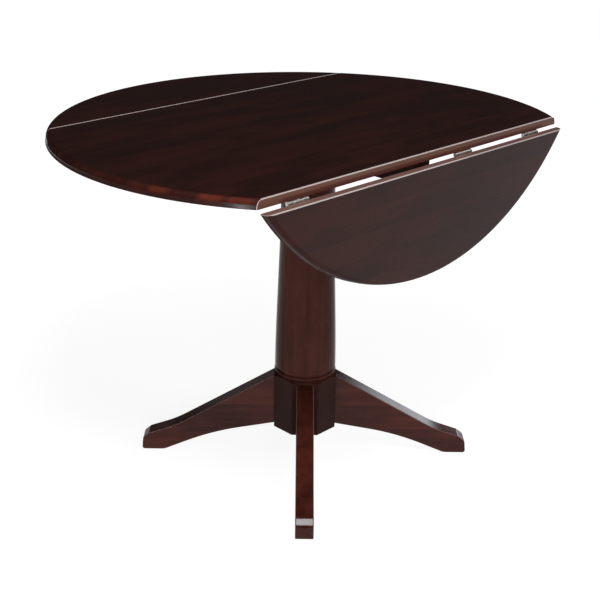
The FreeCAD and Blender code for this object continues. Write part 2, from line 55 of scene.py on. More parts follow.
MM = 0.001
SMOOTH = {"interpolation_type": "SMOOTHSTEP"}
COLOURS = {"data_type": "RGBA"}

# Places on the table that the finish follows
HINGE_X = 309.5 * MM
HINGE_Z = 744.6 * MM
LEAF_GAP = 1 * MM
RIM_INNER = 522 * MM
RIM_WALL = 530.5 * MM
RIM_ROUND = 10 * MM
# Height and half length of a band of painted shade on the centre panel's cut face
SHADE_BAND_HEIGHT = 8.5 * MM
SHADE_BAND_HALF = 382 * MM
HUB_ABOVE_LEG = 5.5 * MM
LEG_HALF = 19 * MM

# Each pattern in the wood: its length along the grain and its width, the detail and roughness of its noise,
# and the levels of the noise from which it shows and at which it is full
WOOD_PATTERNS = {
    "streaks": (333.3 * MM, 16.67 * MM, 5.0, 0.6, 0.35, 0.7),
    "pores": (11.11 * MM, 1 * MM, 2.0, 0.5, 0.56, 0.7),
    "clouds": (200 * MM, 90.9 * MM, 3.0, 0.55, 0.36, 0.66),
}
STRIP_STRETCH = 3.0
CLOUD_SHARE = 0.45
PORE_SHARE = 0.3
PORE_DEPTH = 0.4 * MM
PORE_RELIEF = 0.012

# How much painted shade darkens the hub, how strong the painted highlight on the legs' arrises is and how
# much rougher sanded wood is
HUB_SHARE = 0.75
LEG_ARRIS_HIGHLIGHT = 0.55
SANDED_ROUND = 0.35
SANDED_UNDERSIDE = 0.4

# Patterns on the plated steel and the plastic
SCRATCH_GAP = 0.4 * MM
SCRATCH_LENGTH = 25 * MM
PLATING_CLOUD = 8.33 * MM
PLATING_SHADE = 0.72
PLASTIC_GRAIN = 0.5 * MM
PLASTIC_LIFT = 1.35
FINE_DEPTH = 0.1 * MM
FINE_RELIEF = 0.1

# Screws and bolts, and where they sit in their pieces
UP = (0, 0, 1)
DOWN = (0, 0, -1)
OUT = (1, 0, 0)
HINGES = (1, 2, 3)
PLATE_THICKNESS = 2 * MM
PLATE_SCREW_EDGE = 8 * MM
PLATE_SCREW_STAGGER = 6 * MM
HINGE_SCREW_LENGTH = 14 * MM
KEEPER_END_INSET = 10 * MM
KEEPER_SIDE_INSET = 7.5 * MM
KEEPER_SCREW_BITE = 12 * MM
SCREW_TIP = 4 * MM
TIP_SHARE = 0.25
BEARER_SCREW_SEAT = 22 * MM
BEARER_SCREW_STEP = 90 * MM
LONG_BEARER_INSET = 48 * MM
CROSS_BEARER_INSET = 40 * MM
MOUNTING_PLATE_INSET = 20 * MM
BEARER_SCREW_LENGTH = 38 * MM
PLATE_SCREW_LENGTH = 45 * MM
COLUMN_SCREW_LENGTH = 68 * MM
BOLT_RADIUS = 4 * MM
BOLT_LENGTH = 78 * MM
BOLT_START = 31 * MM
THREAD_DEPTH = 0.45 * MM
SCREW_SIDES = 20
BOLT_SIDES = 16

# Length and width of a recess's slot and twice its depth, as shares of the head's radius
RECESS = (1.15, 0.24, 0.7)

# Stage
WALL_LIGHT = 0.03
GLOW_NEAR = 0.9
GLOW_START = 0.6
GLOW_FULL = 1.8
SENSOR_WIDTH = 36.0
FAR_CLIP = 100.0


def linear(hex_colour):
    """Linear RGB of an sRGB hex value."""
    values = []
    for start in (0, 2, 4):
        channel = int(hex_colour[start:start + 2], 16) / 255
        values.append(channel / 12.92 if channel <= 0.04045 else ((channel + 0.055) / 1.055) ** 2.4)
    return tuple(values)


def colour_setting(name, description, hex_colour):
    return FloatVectorProperty(name=name, description=description, subtype="COLOR", size=3, min=0, max=1,
                               default=linear(hex_colour))


def length_setting(name, description, metres):
    return FloatProperty(name=name, description=description, subtype="DISTANCE", unit="LENGTH",
                         default=metres)


def angle_setting(name, description, degrees):
    return FloatProperty(name=name, description=description, subtype="ANGLE", unit="ROTATION",
                         default=math.radians(degrees))


def power_setting(name, description, watts):
    return FloatProperty(name=name, description=description, unit="POWER", default=watts)


class WoodFinish(PropertyGroup):
    """Stain and lacquer on every wooden piece."""
    leg_stain: colour_setting("Leg stain", "Red-brown of the legs between the pores", "632F25")
    # Painted highlight: a pale colour on the legs' arrises stands in for glints of light on their rounded
    # edges.
    leg_arris_highlight: colour_setting("Leg arris", "Rubbed arrises of the legs", "8E7672")
    dark_stain: colour_setting("Dark stain", "Darkest parts of the legs and under frame", "2F130F")
    column_stain: colour_setting("Column stain", "Browner stain of the turned column", "5E352C")
    column_dark_stain: colour_setting("Column dark stain", "Darkest parts of the column", "3A201B")
    # Painted shade: the hub's flat faces get a darker colour that stands in for the shade under the top and
    # legs.
    hub_painted_shade: colour_setting("Hub stain", "Darker coat on the flat faces of the hub", "2A1512")
    top_stain: colour_setting("Top stain", "Dark coat on the table top", "3F1C17")
    top_dark_stain: colour_setting("Top dark stain", "Darkest parts of the table top", "24110E")
    # Paler colour of the straight cut faces of the centre panel and the raised leaf.
    cut_face_colour: colour_setting("Cut face stain", "Thinner stain on the straight cut faces", "724B3B")
    # Painted light: the hanging leaf's cut face faces up and gets a paler colour than the same face on the
    # other leaf, as the light from above falls on it.
    hanging_leaf_cut_lit: colour_setting("Leaf cut stain", "Pale cut face on top of the hanging leaf", "8A675E")
    rim_stain: colour_setting("Rim stain", "Thinner red stain on the round of the rim", "5C2519")
    # Painted shade: a dark red band low on the centre panel's cut face stands in for the hanging leaf's shade
    # and dark reflection.
    cut_face_painted_shade: colour_setting("Rail stain", "Red band low on the centre panel's cut face", "532A20")
    # Painted highlight: a near-white colour on the top's arrises stands in for glints of light on their
    # rounded edges.
    highlighted: colour_setting("Rubbed arris", "Wood that shows where the top's arrises are rubbed", "BBAFAD")
    frame_stain: colour_setting("Frame stain", "Thin stain on the wood under the top", "2E1C14")
    strip_width: length_setting("Strip width", "Width of the glued strips in the top", 46 * MM)
    first_strip: FloatProperty(
        name="First strip", description="Number of the strip in the middle, which picks the strips' tones",
        default=281.35)


class Hardware(PropertyGroup):
    """Screws, bolts and hinges."""
    screw_head: length_setting("Hinge screw head", "Head radius of the hinge and keeper screws", 3.4 * MM)
    screw_shank: length_setting("Hinge screw shank", "Shank radius of the hinge and keeper screws", 1.75 * MM)
    frame_screw_head: length_setting("Frame screw head", "Head radius of the under frame screws", 4.8 * MM)
    frame_screw_shank: length_setting("Frame screw shank", "Shank radius of the under frame screws", 2.5 * MM)
    bolt_pitch: length_setting("Thread pitch", "Thread pitch of the leg bolts", 1.25 * MM)
    plating: colour_setting("Plating", "Colour of the plated steel", "CECBC5")
    glide_colour: colour_setting("Glides", "Colour of the glides under the feet", "221E1C")


class Studio(PropertyGroup):
    """Camera, lamps and floor."""
    lens: FloatProperty(
        name="Lens", description="Focal length on a sensor 36 mm wide", unit="CAMERA", default=66.927)
    azimuth: angle_setting("Azimuth", "Camera direction round the table", 44.6805)
    elevation: angle_setting("Elevation", "Camera height above the horizon", 22.8423)
    roll: angle_setting("Roll", "Camera roll", 0.8672)
    distance: length_setting("Distance", "Camera distance from its aim", 2.45153)
    aim_height: length_setting("Aim height", "Height of the camera's aim", 0.37027)
    aim_side: length_setting("Aim side", "Sideways offset of the camera's aim", -0.0138)
    front_power: power_setting("Front power", "Low front softbox", 44.0)
    strip_power: power_setting("Strip power", "Upright strip at the left", 28.0)
    high_power: power_setting("High front power", "High front softbox", 30.0)
    side_power: power_setting("Side power", "Softbox at the right", 9.0)
    left_back_power: power_setting("Left back power", "Softbox behind at the left", 0.4)
    back_power: power_setting("Back power", "Low back softbox", 22.0)
    high_back_power: power_setting("High back power", "High back softbox", 12.0)
    back_tint: colour_setting("Back tint", "Cool light of the low back softbox", "ECF6FF")
    floor_colour: colour_setting("Floor", "Matt floor that lights the table from below", "E7E7E7")
    floor_shade: colour_setting("Floor shade", "Part of the floor's white that the table can shade", "898989")
    floor_radius: length_setting("Floor radius", "Size of the pale floor", 14.0)
    floor_sides: IntProperty(name="Floor sides", description="Sides of the floor's outline", default=64)


def first_output(source):
    """The first output that a node has in use; a socket stays as it is."""
    if isinstance(source, bpy.types.Node):
        return next(socket for socket in source.outputs if socket.enabled)
    return source


# Inputs are named or numbered. A Map Range has its value as 0, the range it maps from as 1 and 2
# and the range it maps to as 3 and 4. A colour Mix has its share as 0 and its two colours as 6 and 7.
def add(tree, kind, inputs=None, **settings):
    """Adds a node, sets it up and links or sets its inputs."""
    node = tree.nodes.new(kind)
    for name, value in settings.items():
        setattr(node, name, value)
    for socket, value in (inputs or {}).items():
        value = first_output(value)
        if isinstance(value, bpy.types.NodeSocket):
            tree.links.new(value, node.inputs[socket])
        else:
            node.inputs[socket].default_value = value
    return node


def new_material(name):
    material = bpy.data.materials.new(name)
    material.use_nodes = True
    material.node_tree.nodes.clear()
    return material, material.node_tree


def rgba(colour):
    return (colour[0], colour[1], colour[2], 1.0)


# Rubberwood, edge-glued from strips, planed, stained dark and sprayed with satin lacquer.
# The eye gets a near even dark brown with soft red patches, slow changes from strip to strip,
# short fine pores along the grain and a soft sheen. The real pores are about 0.2 mm wide, too fine
# to show here, so they are drawn 1 mm wide.
def stained_wood(name, light, dark, grain_axis, across_axis, strip, roughness, specular, first_strip=0.0,
                 contrast=0.22, figured=0.45, turn=(0, 0, 0), shift=(0, 0, 0), marks=None):
    """Wood with its grain along one axis and its strips side by side along another.

    Contrast is how far the strips differ in tone, figured is how far streaks lighten the wood, turn and shift
    lay the pattern on the piece, and marks adds what belongs to one piece alone.
    """
    material, tree = new_material(name)
    place = add(tree, "ShaderNodeTexCoord")
    laid = add(tree, "ShaderNodeMapping",
               {"Vector": place.outputs["Object"], "Rotation": turn, "Location": shift})
    axes = add(tree, "ShaderNodeSeparateXYZ", {0: laid}).outputs
    thickness_axis = ({"X", "Y", "Z"} - {grain_axis, across_axis}).pop()

    # Each strip has its own tone and its own stretch of grain.
    strip_place = add(tree, "ShaderNodeMath", {0: axes[across_axis], 1: 1 / strip, 2: first_strip},
                      operation="MULTIPLY_ADD")
    strip_number = add(tree, "ShaderNodeMath", {0: strip_place}, operation="FLOOR")
    strip_tone = add(tree, "ShaderNodeTexWhiteNoise", {"W": strip_number}, noise_dimensions="1D")
    along = add(tree, "ShaderNodeMath", {0: strip_tone, 1: STRIP_STRETCH, 2: axes[grain_axis]},
                operation="MULTIPLY_ADD")
    grain = add(tree, "ShaderNodeCombineXYZ", {0: along, 1: axes[across_axis], 2: axes[thickness_axis]})
    noises = {}
    levels = {}
    shares = {"streaks": figured, "pores": 1.0, "clouds": CLOUD_SHARE}
    for pattern, (length, width, detail, noise_roughness, start, full) in WOOD_PATTERNS.items():
        scale = (1 / length, 1 / width, 1 / width)
        stretched = add(tree, "ShaderNodeMapping", {"Vector": grain, "Scale": scale})
        noises[pattern] = add(tree, "ShaderNodeTexNoise",
                              {"Vector": stretched, "Scale": 1.0, "Detail": detail,
                               "Roughness": noise_roughness})
        levels[pattern] = add(tree, "ShaderNodeMapRange",
                              {0: noises[pattern], 1: start, 2: full, 4: shares[pattern]}, **SMOOTH)

    # Streaks, clouds and strips lighten the dark stain, and pores darken it.
    tone = add(tree, "ShaderNodeMath", {0: levels["streaks"], 1: levels["clouds"]}, operation="ADD")
    tone = add(tree, "ShaderNodeMath", {0: strip_tone, 1: contrast, 2: tone}, operation="MULTIPLY_ADD")
    tone = add(tree, "ShaderNodeMath", {0: levels["pores"], 1: -PORE_SHARE, 2: tone},
               operation="MULTIPLY_ADD", use_clamp=True)
    colour = add(tree, "ShaderNodeMix", {0: tone, 6: rgba(dark), 7: rgba(light)}, **COLOURS)
    rough = add(tree, "ShaderNodeMapRange",
                {0: noises["clouds"], 1: 0.3, 2: 0.7, 3: roughness[0], 4: roughness[1]})
    if marks:
        wood = {"axes": axes, "figure": noises["streaks"], "strip_tone": strip_tone}
        colour, rough = marks(tree, wood, colour, rough)
    sunk = add(tree, "ShaderNodeMath", {0: levels["pores"], 1: -1.0}, operation="MULTIPLY")
    bump = add(tree, "ShaderNodeBump", {"Strength": PORE_RELIEF, "Distance": PORE_DEPTH, "Height": sunk})
    shader = add(tree, "ShaderNodeBsdfPrincipled",
                 {"Base Color": colour, "Roughness": rough, "IOR": 1.5, "Specular IOR Level": specular,
                  "Normal": bump})
    add(tree, "ShaderNodeOutputMaterial", {0: shader})
    return material


def hub_marks(finish):
    """Painted shade: the flat faces of the hub are painted darker than the turned column above them, as the
    shade under the top and legs.
    """
    def marks(tree, wood, colour, rough):
        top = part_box("front_leg")[1][2] + HUB_ABOVE_LEG
        on_hub = add(tree, "ShaderNodeMapRange",
                     {0: wood["axes"]["Z"], 1: top - 2 * MM, 2: top, 3: HUB_SHARE, 4: 0.0}, **SMOOTH)
        colour = add(tree, "ShaderNodeMix", {0: on_hub, 6: colour, 7: rgba(finish.hub_painted_shade)}, **COLOURS)
        return colour, rough
    return marks


def leg_marks(finish):
    """Painted highlight: the long arrises of a leg are painted pale, as glints of light on their rounded
    edges.
    """
    def marks(tree, wood, colour, rough):
        sideways = add(tree, "ShaderNodeMath", {0: wood["axes"]["Y"]}, operation="ABSOLUTE")
        inner = add(tree, "ShaderNodeMapRange",
                    {0: sideways, 1: LEG_HALF - 1.6 * MM, 2: LEG_HALF - 1.0 * MM}, **SMOOTH)
        outer = add(tree, "ShaderNodeMapRange",
                    {0: sideways, 1: LEG_HALF - 0.4 * MM, 2: LEG_HALF - 0.1 * MM, 3: LEG_ARRIS_HIGHLIGHT, 4: 0.0},
                    **SMOOTH)
        share = add(tree, "ShaderNodeMath", {0: inner, 1: outer}, operation="MULTIPLY")
        colour = add(tree, "ShaderNodeMix", {0: share, 6: colour, 7: rgba(finish.leg_arris_highlight)}, **COLOURS)
        return colour, rough
    return marks


def panel_marks(cut_plane, outward, finish, cut_face_colour, highlight_and_wear, shade_band=None):
    """Marks of one panel of the top, in the raised position: its cut face, painted highlights on its arrises,
    and its rim.

    The wood lies inside the cut plane if outward is 1 and outside it if outward is -1.
    Highlight and wear say how strong the painted highlight on the arrises on -X and on +X is, how thin the
    rim's stain gets and how much rougher than the rest the rim's wall is, in general and at its +X end.
    Shade band gives the height, half length and colour of a band of painted shade along the cut face, where
    the hanging leaf shades it.
    """
    def marks(tree, wood, colour, rough):
        axes = wood["axes"]
        panel_low, panel_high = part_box("centre_panel")
        top = panel_high[2]
        thickness = top - panel_low[2]
        away = add(tree, "ShaderNodeMath", {0: axes["X"]}, operation="ABSOLUTE")
        past_cut = add(tree, "ShaderNodeMath", {0: away, 1: cut_plane}, operation="SUBTRACT")
        depth = add(tree, "ShaderNodeMath", {0: past_cut, 1: outward}, operation="MULTIPLY")
        below_top = add(tree, "ShaderNodeMath", {0: axes["Z"], 1: top}, operation="SUBTRACT")
        corner = add(tree, "ShaderNodeMath", {0: depth, 1: below_top}, operation="ADD")
        flat = add(tree, "ShaderNodeCombineXYZ", {0: axes["X"], 1: axes["Y"]})
        radius = add(tree, "ShaderNodeVectorMath", {0: flat}, operation="LENGTH")

        # The straight cut faces are paler.
        streaks = add(tree, "ShaderNodeMapRange", {0: wood["figure"], 1: 0.3, 2: 0.7, 3: 0.6, 4: 1.0})
        on_cut = add(tree, "ShaderNodeMapRange", {0: depth, 1: -0.9 * MM, 2: -0.2 * MM}, **SMOOTH)
        cut_share = add(tree, "ShaderNodeMath", {0: on_cut, 1: streaks}, operation="MULTIPLY")
        colour = add(tree, "ShaderNodeMix", {0: cut_share, 6: colour, 7: rgba(cut_face_colour)}, **COLOURS)
        if shade_band:
            # Painted shade: a darker band along the lower half of the cut face stands in for the shade and
            # dark reflection of the hanging leaf; it stops short of the rim.
            low = add(tree, "ShaderNodeMapRange",
                      {0: axes["Z"], 1: shade_band["top"] - 1.0 * MM, 2: shade_band["top"] + 0.8 * MM, 3: 1.0, 4: 0.0},
                      **SMOOTH)
            sideways = add(tree, "ShaderNodeMath", {0: axes["Y"]}, operation="ABSOLUTE")
            short = add(tree, "ShaderNodeMapRange",
                        {0: sideways, 1: shade_band["half"] - 12 * MM, 2: shade_band["half"] + 12 * MM, 3: 1.0, 4: 0.0},
                        **SMOOTH)
            shade_band_share = on_cut
            for factor in (low, short):
                shade_band_share = add(tree, "ShaderNodeMath", {0: shade_band_share, 1: factor}, operation="MULTIPLY")
            colour = add(tree, "ShaderNodeMix", {0: shade_band_share, 6: colour, 7: rgba(shade_band["stain"])}, **COLOURS)

        # Some strips took less stain on the rim's round, least in their middle, but not towards -X.
        on_rim = add(tree, "ShaderNodeMapRange", {0: radius, 1: RIM_INNER, 2: RIM_INNER + 2 * MM}, **SMOOTH)
        on_round = add(tree, "ShaderNodeMapRange", {0: below_top, 1: -RIM_ROUND, 2: 2 * MM - RIM_ROUND},
                       **SMOOTH)
        inner_fade = add(tree, "ShaderNodeMapRange", {0: radius, 1: RIM_INNER, 2: RIM_INNER + 5 * MM},
                         **SMOOTH)
        thin_strip = add(tree, "ShaderNodeMapRange",
                         {0: wood["strip_tone"], 1: 0.5, 2: 0.7, 3: 0.15 * highlight_and_wear["rim"], 4: highlight_and_wear["rim"]},
                         **SMOOTH)
        strip_place = add(tree, "ShaderNodeMath",
                          {0: axes["X"], 1: 1 / finish.strip_width, 2: finish.first_strip},
                          operation="MULTIPLY_ADD")
        from_joint = add(tree, "ShaderNodeMath", {0: strip_place, 1: 0.5}, operation="PINGPONG")
        mid_strip = add(tree, "ShaderNodeMapRange", {0: from_joint, 1: 0.0, 2: 0.25, 3: 0.3, 4: 1.0},
                        **SMOOTH)
        past_left = add(tree, "ShaderNodeMapRange", {0: axes["X"], 1: -110 * MM, 2: -40 * MM}, **SMOOTH)
        thin_share = inner_fade
        for factor in (on_round, streaks, thin_strip, mid_strip, past_left):
            thin_share = add(tree, "ShaderNodeMath", {0: thin_share, 1: factor}, operation="MULTIPLY")
        colour = add(tree, "ShaderNodeMix", {0: thin_share, 6: colour, 7: rgba(finish.rim_stain)}, **COLOURS)

        # Painted highlight: the arris along the top and the corners where the cut meets the rim are painted
        # pale, as glints of light on the rounded edges.
        on_arris = add(tree, "ShaderNodeMapRange", {0: corner, 1: -2.35 * MM, 2: -1.75 * MM}, **SMOOTH)
        near_cut = add(tree, "ShaderNodeMapRange", {0: depth, 1: -1.6 * MM, 2: -1.0 * MM}, **SMOOTH)
        off_cut = add(tree, "ShaderNodeMapRange", {0: depth, 1: -0.3 * MM, 2: 0.0, 3: 1.0, 4: 0.0}, **SMOOTH)
        rim_line = near_cut
        for factor in (off_cut, on_rim):
            rim_line = add(tree, "ShaderNodeMath", {0: rim_line, 1: factor}, operation="MULTIPLY")
        pale = add(tree, "ShaderNodeMath", {0: on_arris, 1: rim_line}, operation="MAXIMUM")
        highlight_side = add(tree, "ShaderNodeMapRange",
                   {0: axes["X"], 1: -1 * MM, 2: 1 * MM, 3: highlight_and_wear["left"], 4: highlight_and_wear["right"]})
        pale_share = add(tree, "ShaderNodeMath", {0: pale, 1: highlight_side}, operation="MULTIPLY")
        colour = add(tree, "ShaderNodeMix", {0: pale_share, 6: colour, 7: rgba(finish.highlighted)}, **COLOURS)

        # The rim's wall and the upper half of its round are sanded. The wall's +X end has its own roughness.
        at_edge = add(tree, "ShaderNodeMapRange", {0: radius, 1: RIM_WALL, 2: RIM_WALL + 1 * MM}, **SMOOTH)
        under_round = add(tree, "ShaderNodeMapRange",
                          {0: below_top, 1: -1.5 * MM - RIM_ROUND, 2: -RIM_ROUND, 3: 1.0, 4: 0.0}, **SMOOTH)
        on_wall = add(tree, "ShaderNodeMath", {0: at_edge, 1: under_round}, operation="MULTIPLY")
        upper_half = add(tree, "ShaderNodeMapRange", {0: below_top, 1: -6 * MM, 2: -4.5 * MM}, **SMOOTH)
        on_upper = add(tree, "ShaderNodeMath", {0: on_rim, 1: upper_half}, operation="MULTIPLY")
        sanded = add(tree, "ShaderNodeMapRange",
                     {0: axes["X"], 1: 210 * MM, 2: 300 * MM, 3: highlight_and_wear["wall"], 4: highlight_and_wear["wall_end"]}, **SMOOTH)
        rough = add(tree, "ShaderNodeMath", {0: on_wall, 1: sanded, 2: rough}, operation="MULTIPLY_ADD")
        rough = add(tree, "ShaderNodeMath", {0: on_upper, 1: SANDED_ROUND, 2: rough},
                    operation="MULTIPLY_ADD")

        # The underside is sanded and left matt.
        underneath = add(tree, "ShaderNodeMapRange",
                         {0: below_top, 1: 0.3 * MM - thickness, 2: 0.8 * MM - thickness,
                          3: SANDED_UNDERSIDE, 4: 0.0}, **SMOOTH)
        rough = add(tree, "ShaderNodeMath", {0: underneath, 1: rough}, operation="ADD")
        return colour, rough
    return marks


# Zinc-plated steel, stamped and barrel-finished: a pale grey metal, softly blurred, with fine scratches
# along one axis. Real scratches are finer than the render shows, so they are drawn 0.4 mm apart.
def plated_steel(name, colour, scratch_axis):
    material, tree = new_material(name)
    place = add(tree, "ShaderNodeTexCoord").outputs["Object"]
    scale = [1 / SCRATCH_GAP] * 3
    scale["XYZ".index(scratch_axis)] = 1 / SCRATCH_LENGTH
    stretched = add(tree, "ShaderNodeMapping", {"Vector": place, "Scale": scale})
    scratches = add(tree, "ShaderNodeTexNoise", {"Vector": stretched, "Scale": 1.0, "Detail": 2.0})
    cloud_place = add(tree, "ShaderNodeMapping", {"Vector": place, "Scale": [1 / PLATING_CLOUD] * 3})
    clouds = add(tree, "ShaderNodeTexNoise", {"Vector": cloud_place, "Scale": 1.0, "Detail": 3.0})
    darker = [channel * PLATING_SHADE for channel in colour]
    tint = add(tree, "ShaderNodeMix", {0: clouds, 6: rgba(darker), 7: rgba(colour)}, **COLOURS)
    rough = add(tree, "ShaderNodeMapRange", {0: scratches, 1: 0.3, 2: 0.7, 3: 0.34, 4: 0.5})
    bump = add(tree, "ShaderNodeBump", {"Strength": FINE_RELIEF, "Distance": FINE_DEPTH, "Height": scratches})
    shader = add(tree, "ShaderNodeBsdfPrincipled",
                 {"Base Color": tint, "Metallic": 1.0, "Roughness": rough, "Normal": bump})
    add(tree, "ShaderNodeOutputMaterial", {0: shader})
    return material


# Polyethylene, moulded: dull dark plastic with a faint grain of about 0.5 mm.
def moulded_plastic(name, colour):
    material, tree = new_material(name)
    place = add(tree, "ShaderNodeTexCoord").outputs["Object"]
    scaled = add(tree, "ShaderNodeMapping", {"Vector": place, "Scale": [1 / PLASTIC_GRAIN] * 3})
    grain = add(tree, "ShaderNodeTexNoise", {"Vector": scaled, "Scale": 1.0, "Detail": 2.0})
    paler = [min(1.0, channel * PLASTIC_LIFT) for channel in colour]
    tint = add(tree, "ShaderNodeMix", {0: grain, 6: rgba(colour), 7: rgba(paler)}, **COLOURS)
    rough = add(tree, "ShaderNodeMapRange", {0: grain, 3: 0.45, 4: 0.6})
    bump = add(tree, "ShaderNodeBump", {"Strength": FINE_RELIEF, "Distance": FINE_DEPTH, "Height": grain})
    shader = add(tree, "ShaderNodeBsdfPrincipled",
                 {"Base Color": tint, "Roughness": rough, "IOR": 1.5, "Normal": bump})
    add(tree, "ShaderNodeOutputMaterial", {0: shader})
    return material


def finish_node(name, material):
    """Puts one material on a whole node."""
    mesh = NODES[name].data
    mesh.materials.clear()
    mesh.materials.append(material)


def nodes_ending(ending):
    return [name for name in NODES if name.endswith(ending)]


class TABLE_OT_top(Operator):
    """Stains the centre panel and both leaves"""
    bl_idname = "table.top"
    bl_label = "Table top"

    def execute(self, context):
        finish = context.scene.table_wood
        panel_low, panel_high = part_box("centre_panel")
        half = panel_high[0]
        outer = half + LEAF_GAP
        shade_band = {"top": panel_low[2] + SHADE_BAND_HEIGHT, "half": SHADE_BAND_HALF, "stain": finish.cut_face_painted_shade}
        level = {"turn": (0, 0, 0), "shift": (0, 0, 0)}
        # The hanging leaf's wood is laid out as if the leaf were raised.
        hanging = {"turn": (0, math.radians(-90), 0), "shift": (HINGE_X + HINGE_Z, 0, HINGE_Z - HINGE_X)}
        # How strong the painted highlight on each panel's arrises is, how thin its rim's stain gets and how
        # rough its rim's wall is
        centre_highlight_and_wear = {"left": 0.85, "right": 1.0, "rim": 1.0, "wall": 0.45, "wall_end": -0.1}
        left_highlight_and_wear = {"left": 0.85, "right": 1.0, "rim": 0.4, "wall": 0.45, "wall_end": 0.45}
        right_highlight_and_wear = {"left": 1.0, "right": 1.0, "rim": 0.25, "wall": 0.45, "wall_end": 0.45}
        panels = {
            "centre_panel": (level, panel_marks(half, 1, finish, finish.cut_face_colour, centre_highlight_and_wear, shade_band)),
            "left_leaf": (level, panel_marks(outer, -1, finish, finish.cut_face_colour, left_highlight_and_wear)),
            # The hanging leaf's cut face faces up and is painted paler, as the light from above falls on it.
            "right_leaf": (hanging, panel_marks(outer, -1, finish, finish.hanging_leaf_cut_lit, right_highlight_and_wear)),
        }
        for name, (layout, marks) in panels.items():
            wood = stained_wood("stained_rubberwood_" + name, finish.top_stain, finish.top_dark_stain,
                                grain_axis="Y", across_axis="X", strip=finish.strip_width,
                                roughness=(0.22, 0.3), specular=0.13, first_strip=finish.first_strip,
                                contrast=0.05, figured=0.2, marks=marks, **layout)
            finish_node(name, wood)
        return {"FINISHED"}


class TABLE_OT_pedestal(Operator):
    """Stains the column and the four legs"""
    bl_idname = "table.pedestal"
    bl_label = "Pedestal"

    def execute(self, context):
        finish = context.scene.table_wood
        column = stained_wood("stained_rubberwood_column", finish.column_stain, finish.column_dark_stain,
                              grain_axis="Z", across_axis="X", strip=45 * MM, roughness=(0.22, 0.3),
                              specular=0.05, contrast=0.04, figured=0.18, marks=hub_marks(finish))
        finish_node("pedestal_column", column)
        for ends, angle in ((("front", "back"), -45), (("right", "left"), 45)):
            legs = stained_wood("stained_rubberwood_legs_" + ends[0], finish.leg_stain, finish.dark_stain,
                                grain_axis="X", across_axis="Z", strip=60 * MM, roughness=(0.16, 0.22),
                                specular=0.17, contrast=0.06, figured=0.25,
                                turn=(0, 0, math.radians(-angle)), marks=leg_marks(finish))
            for end in ends:
                finish_node(end + "_leg", legs)
        return {"FINISHED"}


class TABLE_OT_under_frame(Operator):
    """Stains bearers, mounting plate, stays and keepers"""
    bl_idname = "table.under_frame"
    bl_label = "Under frame"

    def execute(self, context):
        finish = context.scene.table_wood
        pieces = {
            ("X", "Y"): ["long_bearer", "left_stay_arm"],
            ("Y", "X"): ["cross_bearer", "mounting_plate", "left_keeper"],
            ("Z", "Y"): ["right_stay_arm"],
            ("Y", "Z"): ["right_keeper"],
        }
        for (grain, across), names in pieces.items():
            wood = stained_wood("thin_stained_rubberwood_" + grain + across, finish.frame_stain,
                                finish.dark_stain, grain, across, strip=50 * MM, roughness=(0.6, 0.7),
                                specular=0.08)
            for name in names:
                finish_node(name, wood)
        return {"FINISHED"}


class TABLE_OT_hinges(Operator):
    """Plates the hinges"""
    bl_idname = "table.hinges"
    bl_label = "Hinges"

    def execute(self, context):
        steel = plated_steel("zinc_plated_hinge_steel", context.scene.table_hardware.plating, "Y")
        for name in nodes_ending("_plate") + nodes_ending("_pin"):
            if "_hinge_" in name:
                finish_node(name, steel)
        return {"FINISHED"}


def new_tree(name, sizes):
    """Geometry tree that takes points and a list of sizes."""
    tree = bpy.data.node_groups.new(name, "GeometryNodeTree")
    tree.interface.new_socket("Points", in_out="INPUT", socket_type="NodeSocketGeometry")
    for size in sizes:
        tree.interface.new_socket(size, in_out="INPUT", socket_type="NodeSocketFloat")
    tree.interface.new_socket("Material", in_out="INPUT", socket_type="NodeSocketMaterial")
    tree.interface.new_socket("Mesh", in_out="OUTPUT", socket_type="NodeSocketGeometry")
    return tree, add(tree, "NodeGroupInput").outputs


def place_on_points(tree, sizes, piece):
    """Ends a tree: one copy of the piece on each point, its Z axis along the point's facing."""
    facing = add(tree, "GeometryNodeInputNamedAttribute", {"Name": "facing"}, data_type="FLOAT_VECTOR")
    turn = add(tree, "FunctionNodeAlignRotationToVector", {"Vector": facing}, axis="Z")
    copies = add(tree, "GeometryNodeInstanceOnPoints",
                 {"Points": sizes["Points"], "Instance": piece, "Rotation": turn})
    real = add(tree, "GeometryNodeRealizeInstances", {0: copies})
    coated = add(tree, "GeometryNodeSetMaterial", {0: real, "Material": sizes["Material"]})
    add(tree, "NodeGroupOutput", {0: coated})


